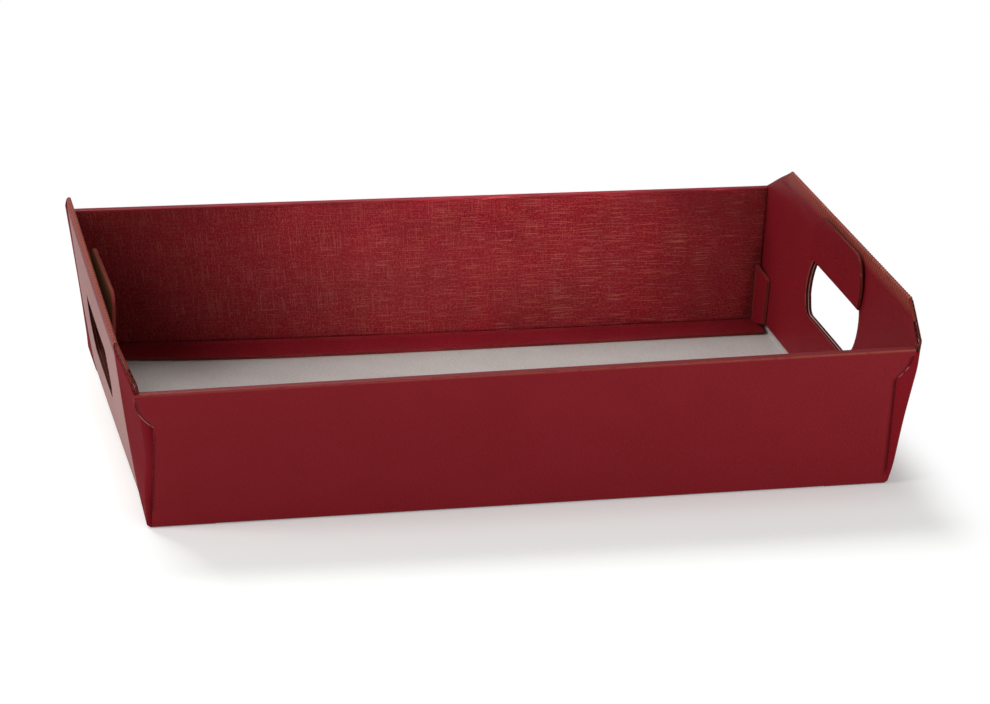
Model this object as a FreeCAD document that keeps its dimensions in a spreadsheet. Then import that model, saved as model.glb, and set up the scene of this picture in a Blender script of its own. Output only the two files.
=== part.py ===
"""A gift tray with two hand holes, cut and folded from one sheet of fine corrugated card.

Everything is in millimetres. The origin is the middle of the underside of the floor, X runs
along the tray, Y across it and +Z up. The tray is the same on both sides of its two middle
planes, so the quarter at +X and +Y is drawn, and is then mirrored twice.
"""
import FreeCAD, Part
import math
import os
import Sketcher

Vector = FreeCAD.Vector

document = FreeCAD.newDocument("tray")

# Driving dimensions
sheet = document.addObject("Spreadsheet::Sheet", "sizes")
SIZES = [
    ("board", 1.6, "thickness of the corrugated board"),
    ("ply_gap", 0.4, "space between two layers that lie on each other"),
    ("fold_radius", 0.8, "outer radius of a fold"),
    ("floor_length", 370, "floor, along X"),
    ("floor_width", 250, "floor, along Y"),
    ("long_flare", 8, "lean of the long walls, in degrees"),
    ("end_flare", 8, "lean of the end walls, in degrees"),
    ("rim_height", 73, "height of the long walls"),
    ("rim_width", 5.5, "flat rim between the two layers of a long wall"),
    ("foot_inset", 12, "foot of the inner layer, in from the edge of the floor"),
    ("foot_lift", 1.8, "crease at that foot, off the floor"),
    ("bow_radius", 420, "bow of the inner layer, into the tray"),
    ("flap_depth", 23, "flap that lies on the floor"),
    ("flap_clearance", 0.3, "free edge of that flap, off the floor"),
    ("slit_drop", 17.7, "start of the curved slit at each corner, down from the rim"),
    ("slit_radius", 20, "curve of that slit"),
    ("horn_gap", 1.2, "end of a long wall's outer layer, short of the corner"),
    ("web_reach", 32, "corner web, along the long wall"),
    ("end_rise", 17, "top of an end wall, above the rim"),
    ("shoulder_rise", 4, "foot of an end wall's shoulder, above the rim"),
    ("shoulder_run", 27, "sloping shoulder of an end wall, along Y"),
    ("inner_foot_gap", 4, "lower edge of an end wall's inner layer, off the floor"),
    ("tab_gap", 4.4, "lower edge of the side tab on an end wall, off the floor"),
    ("tab_height", 28, "side tab, up the wall"),
    ("tab_width", 15, "side tab, along Y"),
    ("tab_slope", 4, "slope of both its edges"),
    ("hand_band", 28.4, "card above a hand hole"),
    ("hole_height", 30, "hand hole, up the wall"),
    ("hole_top_width", 80, "straight upper edge of a hand hole"),
    ("hole_bottom_width", 70, "straight lower edge of a hand hole"),
    ("hole_side_radius", 20, "bulging sides of a hand hole"),
    ("hole_margin", 2, "how much larger the inner layer's hole is"),
    ("handle_lean", 3, "lean of the handle flap off the wall, in degrees"),
]
for row, (alias, value, meaning) in enumerate(SIZES, start=1):
    sheet.set("A%d" % row, meaning)
    sheet.set("B%d" % row, str(value))
    sheet.setAlias("B%d" % row, alias)
document.recompute()


# Worked-out sizes, each an expression of the driving dimensions
HALF_LENGTH = "(sizes.floor_length / 2)"
HALF_WIDTH = "(sizes.floor_width / 2)"
LONG_TAN = "tan(sizes.long_flare)"
END_TAN = "tan(sizes.end_flare)"
LAYER = "(sizes.board + sizes.ply_gap)"
# The long wall's cross-section
RIM_OUTSIDE = f"({HALF_WIDTH} + sizes.rim_height * {LONG_TAN})"
RIM_INSIDE = f"({RIM_OUTSIDE} - sizes.rim_width)"
UNDER_RIM = "(sizes.rim_height - sizes.board)"
FOOT = f"({HALF_WIDTH} - sizes.foot_inset)"
FOOT_HEIGHT = "(2 * sizes.board + sizes.foot_lift)"
PANEL_TAN = f"(({RIM_INSIDE} - {FOOT}) / (sizes.rim_height - {FOOT_HEIGHT}))"
PANEL_SHIFT = f"(sizes.board * sqrt(1 + {PANEL_TAN} ^ 2) - sizes.board * {PANEL_TAN})"
# The end wall, up its slope
CORNER_INSET = f"({LAYER} / cos(sizes.long_flare))"
FOLD_RADIUS = "(sizes.board + sizes.ply_gap / 2)"
END_HEIGHT = "(sizes.rim_height + sizes.end_rise)"
STRAIGHT_TOP = f"(({END_HEIGHT} - {FOLD_RADIUS} * (1 + sin(sizes.end_flare))) / cos(sizes.end_flare))"
SHOULDER_HEIGHT = "(sizes.rim_height + sizes.shoulder_rise)"
SHOULDER = f"({SHOULDER_HEIGHT} / cos(sizes.end_flare))"
CORNER_FOOT = f"({HALF_WIDTH} - {CORNER_INSET})"
CORNER_SHOULDER = f"({CORNER_FOOT} + {SHOULDER_HEIGHT} * {LONG_TAN})"
HALF_TOP = f"({CORNER_SHOULDER} - sizes.shoulder_run)"
HOLE_TOP = f"({END_HEIGHT} / cos(sizes.end_flare) - sizes.hand_band)"
HOLE_BOTTOM = f"({HOLE_TOP} - sizes.hole_height)"
HOLE_HALF_TOP = "(sizes.hole_top_width / 2)"
HOLE_HALF_BOTTOM = "(sizes.hole_bottom_width / 2)"


def value_of(expression):
    """The number that an expression gives now."""
    result = sheet.evalExpression(expression)
    return float(getattr(result, "Value", result))


# Sketches and pads
tray = document.addObject("PartDesign::Body", "tray")
tray.Label = "tray"
tray.Placement = FreeCAD.Placement()


def origin_plane(role):
    """One of the body's own middle planes, found by its role."""
    return next(item for item in tray.Origin.OriginFeatures if item.Role == role)


def place_on(item, role, base, axis, angle):
    """Puts a sketch or plane on a middle plane, moved by base and turned about axis by angle."""
    item.AttachmentSupport = [(origin_plane(role), "")]
    item.MapMode = "FlatFace"
    move = Vector(*[value_of(part) for part in base])
    item.AttachmentOffset = FreeCAD.Placement(move, FreeCAD.Rotation(Vector(*axis), value_of(angle)))
    for letter, part in zip("xyz", base):
        if part != "0":
            item.setExpression("AttachmentOffset.Base." + letter, part)
    if angle != "0":
        item.setExpression("AttachmentOffset.Rotation.Angle", angle)


def sketch_on(name, role, base=("0", "0", "0"), axis=(1, 0, 0), angle="0"):
    """A new sketch on one of the body's middle planes."""
    sketch = tray.newObject("Sketcher::SketchObject", name)
    place_on(sketch, role, base, axis, angle)
    return sketch


def arc_between(start, end, radius):
    """The shorter arc from start to end that bulges to the right of the way."""
    along = end - start
    across = Vector(along.y, -along.x, 0).normalize()
    rise = radius - math.sqrt(radius ** 2 - (along.Length / 2) ** 2)
    return Part.Arc(start, (start + end) * 0.5 + across * rise, end)


def draw(sketch, corners, arcs=None):
    """A closed outline: each corner's place is bound, and so is each arc's radius.

    arcs gives, for the number of the corner where it starts, its radius and the side that it
    bulges to: 1 for the right of the way round and -1 for the left.
    """
    arcs = arcs or {}
    points = [Vector(value_of(across), value_of(up), 0) for across, up in corners]
    starts = []
    stops = []
    for index, start in enumerate(points):
        end = points[(index + 1) % len(points)]
        radius, side = arcs.get(index, (None, 1))
        # A sketch's arcs run anticlockwise, so one that bulges to the left is drawn from its end
        first, last = (start, end) if side > 0 else (end, start)
        edge = arc_between(first, last, value_of(radius)) if radius else Part.LineSegment(first, last)
        sketch.addGeometry(edge, False)
        starts.append((index, 1 if side > 0 else 2))
        stops.append((index, 2 if side > 0 else 1))
    for index, stop in enumerate(stops):
        sketch.addConstraint(Sketcher.Constraint("Coincident", *stop, *starts[(index + 1) % len(points)]))
    for start, corner, point in zip(starts, corners, points):
        for kind, expression, number, axis in (
            ("DistanceX", corner[0], point.x, -2),
            ("DistanceY", corner[1], point.y, -1),
        ):
            if expression == "0":
                sketch.addConstraint(Sketcher.Constraint("PointOnObject", *start, axis))
                continue
            bound = sketch.addConstraint(Sketcher.Constraint(kind, -1, 1, *start, number))
            sketch.setExpression("Constraints[%d]" % bound, expression)
    for index, (radius, _) in arcs.items():
        bound = sketch.addConstraint(Sketcher.Constraint("Radius", index, value_of(radius)))
        sketch.setExpression("Constraints[%d]" % bound, radius)


def pad(sketch, length=None, inward=False):
    """Gives a sketch its length, against its plane's direction where inward is true."""
    feature = tray.newObject("PartDesign::Pad", sketch.Name + "_card")
    feature.Profile = sketch
    feature.Reversed = inward
    if length:
        feature.setExpression("Length", length)
    sketch.Visibility = False
    document.recompute()
    return feature


def end_plane_base(depth):
    """The end wall's plane, depth inside its outer face."""
    return ("0", f"{depth} * sin(sizes.end_flare)", f"{HALF_LENGTH} - {depth} * cos(sizes.end_flare)")


def long_plane_base(depth):
    """The long wall's plane, depth inside its outer face."""
    return ("0", f"{depth} * sin(sizes.long_flare)", f"{depth} * cos(sizes.long_flare) - {HALF_WIDTH}")


# Floor
floor = sketch_on("floor", "XY_Plane")
draw(floor, [("0", "0"), (HALF_LENGTH, "0"), (HALF_LENGTH, HALF_WIDTH), ("0", HALF_WIDTH)])
pad(floor, "sizes.board")

# Long wall, outer layer: straight up beside the corner, then out to the rim in a curve
horn_end = f"({HALF_LENGTH} + sizes.rim_height * {END_TAN} - sizes.horn_gap)"
outer_top = "(sizes.rim_height / cos(sizes.long_flare) - sizes.ply_gap)"
slit_start = "(sizes.rim_height / cos(sizes.long_flare) - sizes.slit_drop)"
long_outer = sketch_on("long_outer", "XZ_Plane", long_plane_base("0"), angle="-sizes.long_flare")
draw(long_outer, [
    ("0", "0"),
    (HALF_LENGTH, "0"),
    (HALF_LENGTH, slit_start),
    (horn_end, outer_top),
    ("0", outer_top),
], {2: ("sizes.slit_radius", 1)})
pad(long_outer, "sizes.board")

# End wall, outer layer, with its shoulder and the hand hole
end_outer = sketch_on("end_outer", "YZ_Plane", end_plane_base("0"), angle="sizes.end_flare")
draw(end_outer, [
    ("0", "0"),
    (CORNER_FOOT, "0"),
    (CORNER_SHOULDER, SHOULDER),
    (HALF_TOP, STRAIGHT_TOP),
    ("0", STRAIGHT_TOP),
    ("0", HOLE_TOP),
    (HOLE_HALF_TOP, HOLE_TOP),
    (HOLE_HALF_BOTTOM, HOLE_BOTTOM),
    ("0", HOLE_BOTTOM),
], {6: ("sizes.hole_side_radius", -1)})
pad(end_outer, "sizes.board", inward=True)

# End wall, fold over its top: half a ring between the two layers
fold_inside = f"({FOLD_RADIUS} - sizes.board)"
end_foot_line = (HALF_LENGTH, "0", "0")
top_fold = sketch_on("top_fold", "XZ_Plane", end_foot_line, axis=(0, 0, 1), angle="-sizes.end_flare")
draw(top_fold, [
    ("0", STRAIGHT_TOP),
    (f"-{FOLD_RADIUS}", f"{STRAIGHT_TOP} + {FOLD_RADIUS}"),
    (f"-2 * {FOLD_RADIUS}", STRAIGHT_TOP),
    (f"-{FOLD_RADIUS} - {fold_inside}", STRAIGHT_TOP),
    (f"-{FOLD_RADIUS}", f"{STRAIGHT_TOP} + {fold_inside}"),
    (f"-{FOLD_RADIUS} + {fold_inside}", STRAIGHT_TOP),
], {0: (FOLD_RADIUS, 1), 1: (FOLD_RADIUS, 1), 3: (fold_inside, -1), 4: (fold_inside, -1)})
pad(top_fold, HALF_TOP, inward=True)

# End wall, inner layer: it stops short of the floor, and its hole is a little larger
inner_foot = "(sizes.board + sizes.inner_foot_gap)"
end_inner = sketch_on("end_inner", "YZ_Plane", end_plane_base(LAYER), angle="sizes.end_flare")
draw(end_inner, [
    ("0", inner_foot),
    (f"{CORNER_FOOT} - {CORNER_INSET} + {inner_foot} * {LONG_TAN}", inner_foot),
    (f"{CORNER_SHOULDER} - {CORNER_INSET}", SHOULDER),
    (HALF_TOP, STRAIGHT_TOP),
    ("0", STRAIGHT_TOP),
    ("0", f"{HOLE_TOP} + sizes.hole_margin"),
    (f"{HOLE_HALF_TOP} + sizes.hole_margin", f"{HOLE_TOP} + sizes.hole_margin"),
    (f"{HOLE_HALF_BOTTOM} + sizes.hole_margin", f"{HOLE_BOTTOM} - sizes.hole_margin"),
    ("0", f"{HOLE_BOTTOM} - sizes.hole_margin"),
], {6: ("sizes.hole_side_radius + sizes.hole_margin", -1)})
pad(end_inner, "sizes.board", inward=True)

# Corner web: the end wall's outer layer goes on round the corner, behind the long wall's
web_top = "(sizes.rim_height - 2 * sizes.board)"
web_start = f"({HALF_LENGTH} - sizes.web_reach)"
web = sketch_on("web", "XZ_Plane", long_plane_base(LAYER), angle="-sizes.long_flare")
draw(web, [
    (web_start, LAYER),
    (f"{HALF_LENGTH} + {LAYER} * {END_TAN} - sizes.board / 2", LAYER),
    (f"{HALF_LENGTH} + {web_top} * {END_TAN} - sizes.board / 2", web_top),
    (web_start, web_top),
])
pad(web, "sizes.board")

# Long wall, from the rim to the flap on the floor: one band that ends at the end wall
end_stop = tray.newObject("PartDesign::Plane", "end_stop")
place_on(end_stop, "YZ_Plane", end_plane_base(f"(2 * {LAYER})"), (1, 0, 0), "sizes.end_flare")
flap_edge = f"({FOOT} - sizes.flap_depth)"
flap_bottom = "(sizes.board + sizes.flap_clearance)"
long_inner = sketch_on("long_inner", "YZ_Plane")
draw(long_inner, [
    (RIM_OUTSIDE, "sizes.rim_height"),
    (RIM_INSIDE, "sizes.rim_height"),
    (FOOT, FOOT_HEIGHT),
    (flap_edge, f"{flap_bottom} + sizes.board"),
    (flap_edge, flap_bottom),
    (f"{FOOT} + {PANEL_SHIFT}", f"{FOOT_HEIGHT} - sizes.board"),
    (f"{RIM_INSIDE} + {PANEL_SHIFT}", UNDER_RIM),
    (f"{RIM_OUTSIDE} - sizes.board * {LONG_TAN}", UNDER_RIM),
], {1: ("sizes.bow_radius", 1), 5: ("sizes.bow_radius - sizes.board", -1)})
band = pad(long_inner)
band.Type = "UpToFace"
band.UpToFace = (end_stop, [""])
document.recompute()


# Side tab of the long wall's inner layer, folded onto the face of the end wall
def tab_corner(height, reach="0"):
    """A corner of the tab at a height: reach in from its root in the inner layer."""
    root = f"{FOOT} + ({height} - {FOOT_HEIGHT}) * {PANEL_TAN} + sizes.board / 2"
    return (f"{root} - {reach}", height)


tab_low = "(sizes.board + sizes.tab_gap)"
tab_high = f"({tab_low} + sizes.tab_height)"
tab = sketch_on("tab", "YZ_Plane", end_plane_base(f"(2 * {LAYER})"), angle="sizes.end_flare")
draw(tab, [
    tab_corner(tab_low),
    tab_corner(tab_high),
    tab_corner(f"({tab_high} - sizes.tab_slope)", "sizes.tab_width"),
    tab_corner(f"({tab_low} + sizes.tab_slope)", "sizes.tab_width"),
])
pad(tab, "sizes.board", inward=True)

# Handle flap: it comes in through the hole and stands up against the inner layer
hinge_reach = f"(2 * {LAYER} + sizes.board)"
hinge = sketch_on("hinge", "XZ_Plane", end_foot_line, axis=(0, 0, 1), angle="-sizes.end_flare")
draw(hinge, [
    ("0", HOLE_TOP),
    ("0", f"{HOLE_TOP} + sizes.board"),
    (f"-{hinge_reach}", f"{HOLE_TOP} + sizes.board"),
    (f"-{hinge_reach}", HOLE_TOP),
])
pad(hinge, HOLE_HALF_TOP, inward=True)

handle_height = f"(sizes.hole_height - {hinge_reach})"
handle_base = (
    "0",
    f"{HOLE_TOP} * cos(sizes.end_flare) + 2 * {LAYER} * sin(sizes.end_flare)",
    f"{HALF_LENGTH} + {HOLE_TOP} * sin(sizes.end_flare) - 2 * {LAYER} * cos(sizes.end_flare)",
)
handle = sketch_on("handle_flap", "YZ_Plane", handle_base, angle="sizes.end_flare - sizes.handle_lean")
draw(handle, [
    ("0", "sizes.ply_gap"),
    (HOLE_HALF_TOP, "sizes.ply_gap"),
    (HOLE_HALF_BOTTOM, handle_height),
    ("0", handle_height),
], {1: ("sizes.hole_side_radius", 1)})
pad(handle, "sizes.board", inward=True)

# Folds are round on their outside: the long wall's foot and both creases of its rim
half_length = value_of(HALF_LENGTH)
rim_height = value_of("sizes.rim_height")
fold_lines = [
    (value_of(HALF_WIDTH), 0),
    (value_of(RIM_OUTSIDE), rim_height),
    (value_of(RIM_INSIDE), rim_height),
]
same_place = 0.001


def on_fold(point):
    """Whether a point lies on one of the fold lines."""
    return any(math.dist((point.y, point.z), line) < same_place for line in fold_lines)


before_folds = tray.Tip
fold_edges = []
for number, edge in enumerate(before_folds.Shape.Edges, start=1):
    if edge.Length > half_length / 2 and all(on_fold(vertex.Point) for vertex in edge.Vertexes):
        fold_edges.append("Edge%d" % number)
folds = tray.newObject("PartDesign::Fillet", "folds")
folds.Base = (before_folds, fold_edges)
folds.setExpression("Radius", "sizes.fold_radius")
before_folds.Visibility = False
document.recompute()

# The end wall's foot is shaved to the same curve
tangent = "sizes.fold_radius * tan((90 - sizes.end_flare) / 2)"
end_foot = sketch_on("end_foot", "XZ_Plane")
draw(end_foot, [
    (HALF_LENGTH, "0"),
    (f"{HALF_LENGTH} + {tangent} * sin(sizes.end_flare)", f"{tangent} * cos(sizes.end_flare)"),
    (f"{HALF_LENGTH} - {tangent}", "0"),
], {1: ("sizes.fold_radius", -1)})
before_pocket = tray.Tip.Shape.Volume
end_fold = tray.newObject("PartDesign::Pocket", "end_fold")
end_fold.Profile = end_foot
end_fold.setExpression("Length", HALF_WIDTH)
end_foot.Visibility = False
document.recompute()
if end_fold.Shape.Volume >= before_pocket:
    raise RuntimeError("the end wall's foot was not rounded")

# The quarter is mirrored to the other side and to the other end
for name, role in (("both_sides", "XZ_Plane"), ("both_ends", "YZ_Plane")):
    mirrored = tray.newObject("PartDesign::Mirrored", name)
    mirrored.TransformMode = "Whole shape"
    mirrored.MirrorPlane = (origin_plane(role), [""])
    tray.Tip = mirrored
    document.recompute()

# Every object has to be sound before anything is written
for item in document.Objects:
    if "Invalid" in item.State or "Error" in item.State:
        raise RuntimeError("%s did not build: %s" % (item.Name, item.State))
parts = [tray]
for part in parts:
    if part.Shape.isNull() or not part.Shape.isValid() or len(part.Shape.Solids) != 1:
        raise RuntimeError("%s is not one sound solid" % part.Label)

os.makedirs("parts", exist_ok=True)
for part in parts:
    part.Shape.exportStep(os.path.join("parts", part.Label + ".step"))
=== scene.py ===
"""A gift tray with two hand holes, folded from one sheet of fine corrugated card.

The card is red with a linen grain on one side and plain grey on the other. The long walls, the
end walls and their flaps are modelled as the one sheet that they are, at the size of the frame.
Lengths are in millimetres until a mesh is made; X runs along the tray, Y across it and Z up.
Heights up a sloping end wall are measured along its slope and are called s.
"""
import math
import random
from functools import partial

import bmesh
import bpy
from mathutils import Matrix, Vector


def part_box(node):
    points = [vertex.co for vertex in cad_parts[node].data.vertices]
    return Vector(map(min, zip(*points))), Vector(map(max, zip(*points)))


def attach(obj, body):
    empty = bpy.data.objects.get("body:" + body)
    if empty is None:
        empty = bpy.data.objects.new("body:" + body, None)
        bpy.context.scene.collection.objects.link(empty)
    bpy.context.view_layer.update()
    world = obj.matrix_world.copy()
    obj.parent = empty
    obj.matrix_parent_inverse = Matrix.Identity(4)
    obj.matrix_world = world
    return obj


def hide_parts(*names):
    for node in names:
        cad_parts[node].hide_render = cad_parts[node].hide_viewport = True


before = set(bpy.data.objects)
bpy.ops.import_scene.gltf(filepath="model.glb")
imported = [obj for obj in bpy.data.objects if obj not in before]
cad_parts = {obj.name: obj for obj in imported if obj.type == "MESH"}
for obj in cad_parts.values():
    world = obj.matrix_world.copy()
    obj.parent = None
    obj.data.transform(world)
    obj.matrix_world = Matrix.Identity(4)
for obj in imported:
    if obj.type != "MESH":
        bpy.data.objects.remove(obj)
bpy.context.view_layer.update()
random.seed(7)

MM = 0.001
LEFT, RIGHT = -1, 1
FRONT, REAR = -1, 1


def corners(left_front, right_front, left_rear, right_rear):
    """A value for each of the tray's corners."""
    return {(LEFT, FRONT): left_front, (RIGHT, FRONT): right_front,
            (LEFT, REAR): left_rear, (RIGHT, REAR): right_rear}


# The board: a red liner, a fluted layer and a grey liner
BOARD = 1.6
END_BOARD = 1.5
CREASED_BOARD = 1.0
LINER = 0.3
PLY_GAP = 0.4
FLUTE_PITCH = 3.3
FLUTE_STEP = FLUTE_PITCH / 6
FLUTE_PAPER = 0.28
FLUTE_RECESS = 0.15
CUT_RECESS = 0.9

# The tray, with the sizes of its frame
FLARE = math.radians(8)
SIN, COS, TAN = math.sin(FLARE), math.cos(FLARE), math.tan(FLARE)
HALF_LENGTH = 185.0
HALF_WIDTH = 125.0
RIM = 73.0
RIM_WIDTH = 5.5
RIM_OUTSIDE = HALF_WIDTH + RIM * TAN
RIM_INSIDE = RIM_OUTSIDE - RIM_WIDTH
FOLD = 1.2
FLOOR_STRIP = 8.0

# The end walls: two layers, pinched together towards the fold over the top
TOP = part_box("tray")[1].z / MM
END_DEPTH = 3.1
END_TOP_DEPTH = 2.5
PINCH_HEIGHT = 20.0
TOP_FOLD = END_TOP_DEPTH / 2
STRAIGHT_TOP = (TOP - TOP_FOLD * (1 + SIN)) / COS
SHOULDER_RISE = 4.0
SHOULDER_RUN = 27.0
SHOULDER = (RIM + SHOULDER_RISE) / COS
CORNER_FOOT = HALF_WIDTH - (BOARD + PLY_GAP) / COS
CORNER_SHOULDER = CORNER_FOOT + (RIM + SHOULDER_RISE) * TAN
HALF_TOP = CORNER_SHOULDER - SHOULDER_RUN
CREASE_FOOT = 87.0
INNER_LIFT = 4.0
INNER_FOOT = BOARD + INNER_LIFT

# The hand holes and the length of the flaps cut from them
HOLE_TOP = TOP / COS - 30.0
HOLE_HEIGHT = 28.4
HOLE_BOTTOM = HOLE_TOP - HOLE_HEIGHT
HOLE_MIDDLE = HOLE_TOP - HOLE_HEIGHT / 2
HOLE_HALF_TOP = 40.0
HOLE_HALF_BOTTOM = 35.0
HOLE_SIDE_RADIUS = 20.0
HOLE_CORNER = 9.0
HOLE_MARGIN = 0.3
HANDLE_LENGTH = 31.4

# Where the parts lie on the flat sheet, far enough apart for their grain to differ
LONG_SHEET = 400
END_SHEET = 800

# How strongly the linen stands out on each face
INSIDE_GRAIN = 1.0
FLAP_GRAIN = 0.3
END_INSIDE_GRAIN = 0.25
PLAIN_GRAIN = 0.2
OUTSIDE_GRAIN = 0.12
FACET_GRAIN = 0.12
END_OUTSIDE_GRAIN = 0.10


# Small helpers for lines and curves
def mix(start, end, share):
    """The value a share of the way from start to end."""
    return start + (end - start) * share


def smooth(share):
    """A share from 0 to 1, eased at both ends."""
    share = min(1.0, max(0.0, share))
    return share * share * (3 - 2 * share)


def spaced(start, end, count):
    """count steps from start to end, with both of them."""
    return [mix(start, end, step / count) for step in range(count + 1)]


def right_of(before, after):
    """The direction to the right of the way from before to after."""
    way = Vector((after[0] - before[0], after[1] - before[1])).normalized()
    return (way.y, -way.x)


def distances_along(points):
    """How far each point is along a line of points."""
    distances = [0.0]
    for start, end in zip(points, points[1:]):
        distances.append(distances[-1] + math.dist(start, end))
    return distances


def arc_between(start, end, radius, count):
    """Points of the shorter arc from start to end that bulges to the right of the way."""
    chord = math.dist(start, end)
    across = ((end[1] - start[1]) / chord, (start[0] - end[0]) / chord)
    inset = math.sqrt(radius * radius - chord * chord / 4)
    middle_x = (start[0] + end[0]) / 2 - across[0] * inset
    middle_y = (start[1] + end[1]) / 2 - across[1] * inset
    first = math.atan2(start[1] - middle_y, start[0] - middle_x)
    angles = spaced(first, first + 2 * math.asin(chord / 2 / radius), count)
    return [(middle_x + radius * math.cos(a), middle_y + radius * math.sin(a)) for a in angles]


def fillet(before, corner, after, radius, count):
    """Points of the arc that rounds a corner."""
    corner = Vector(corner)
    to_before = (Vector(before) - corner).normalized()
    to_after = (Vector(after) - corner).normalized()
    half = to_before.angle(to_after) / 2
    reach = radius / math.tan(half)
    middle = corner + (to_before + to_after).normalized() * (radius / math.sin(half))
    start = corner + to_before * reach - middle
    end = corner + to_after * reach - middle
    return [tuple(middle + start.slerp(end, share).normalized() * radius) for share in spaced(0, 1, count)]


def reach_of(outline, height, angle):
    """How far a closed outline is from the point (0, height) in it, in one direction."""
    way = (math.cos(angle), math.sin(angle))
    best = 0.0
    for (ax, ay), (bx, by) in zip(outline, outline[1:] + outline[:1]):
        ay, by = ay - height, by - height
        spread = (bx - ax) * way[1] - (by - ay) * way[0]
        if abs(spread) < 1e-9:
            continue
        along = (ay * way[0] - ax * way[1]) / spread
        if -1e-6 <= along <= 1 + 1e-6:
            best = max(best, mix(ax, bx, along) * way[0] + mix(ay, by, along) * way[1])
    return best


def resampled(points, step):
    """The same line with points no further apart than step."""
    line = [points[0]]
    for start, end in zip(points, points[1:]):
        count = max(1, math.ceil(math.dist(start, end) / step))
        for share in spaced(0, 1, count)[1:]:
            line.append(tuple(mix(a, b, share) for a, b in zip(start, end)))
    return line


def add_object(name, data):
    """A new object in the scene."""
    made = bpy.data.objects.new(name, data)
    bpy.context.scene.collection.objects.link(made)
    return made


# How this tray stands: its rim is slightly twisted, and its end walls bulge
CORNER_LIFT = corners(-0.7, 1.6, 1.7, -1.4)
END_LEAN_OUT = corners(2.6, 1.2, 0.2, 2.3)
END_BULGE = 1.5
CORNER_HEIGHTS = (0.0, 10.0, 40.0, 60.0, 77.0, 90.0)
CORNER_OUT = corners(
    (1.4, 0.6, -4.2, -3.6, -1.4, -1.1),
    (0.6, 2.0, 1.6, 1.7, 0.3, 0.8),
    (0.0, -0.3, -0.5, -0.4, -0.2, 0.0),
    (0.0, 0.3, 0.3, 0.2, 0.0, 0.0),
)
FOOT_SPREAD = 1.5
FOOT_SPREAD_HEIGHT = 10.0


def settle(x, y, z):
    """Where a point of the regular tray is on this one."""
    along = 0.5 + 0.5 * max(-1.0, min(1.0, x / HALF_LENGTH))
    across = 0.5 + 0.5 * max(-1.0, min(1.0, y / HALF_WIDTH))
    front = mix(CORNER_LIFT[LEFT, FRONT], CORNER_LIFT[RIGHT, FRONT], along)
    rear = mix(CORNER_LIFT[LEFT, REAR], CORNER_LIFT[RIGHT, REAR], along)
    return (x, y, z + mix(front, rear, across) * z / RIM)


def crease_y(s):
    """The corner crease of an end wall, at a height up the wall."""
    return mix(CREASE_FOOT, HALF_TOP, min(1.0, s / STRAIGHT_TOP))


def corner_y(s):
    """The corner of an end wall, at a height up it: at the floor it comes out to the long wall."""
    return CORNER_FOOT + s * SIN + FOOT_SPREAD * (1 - smooth(s / FOOT_SPREAD_HEIGHT))


def corner_out(end, side, s):
    """How far a corner stands out of an end wall's plane, at a height up the wall."""
    outs = CORNER_OUT[end, side]
    for low, high, start, stop in zip(CORNER_HEIGHTS, CORNER_HEIGHTS[1:], outs, outs[1:]):
        if s <= high:
            return mix(start, stop, smooth((s - low) / (high - low)))
    return outs[-1]


def inner_depth(s):
    """Depth of an end wall's inner red face: the two layers are pinched together at the top."""
    return mix(END_TOP_DEPTH, END_DEPTH, smooth((STRAIGHT_TOP - s) / PINCH_HEIGHT))


def plain_bulge(end, y, s):
    """How far an end wall's middle stands out of its plane."""
    height = s / TOP
    lean = mix(END_LEAN_OUT[end, FRONT], END_LEAN_OUT[end, REAR], 0.5 + 0.5 * y / HALF_TOP)
    return height * lean + END_BULGE * 4 * height * (1 - height) * (1 - (y / HALF_WIDTH) ** 2)


def bulge(end, y, s):
    """How far an end wall stands out of its plane: it turns in between its crease and corner."""
    s = max(0.0, min(1.0, s / TOP)) * TOP
    side = REAR if y > 0 else FRONT
    crease = crease_y(s)
    if abs(y) <= crease:
        return plain_bulge(end, y, s)
    share = min(1.0, (abs(y) - crease) / (corner_y(s) - crease))
    return mix(plain_bulge(end, side * crease, s), corner_out(end, side, s), share)


def on_end(end, y, s, depth):
    """A point of an end wall: y across, s up its outer face, depth in from that face."""
    foot = max(0.0, FOLD - s) if depth < BOARD else 0.0
    inset = FOLD - math.sqrt(max(0.0, FOLD * FOLD - foot * foot))
    x = HALF_LENGTH + s * SIN - depth * COS + bulge(end, y, s) - inset
    return settle(end * x, y, s * COS + depth * SIN)


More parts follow.
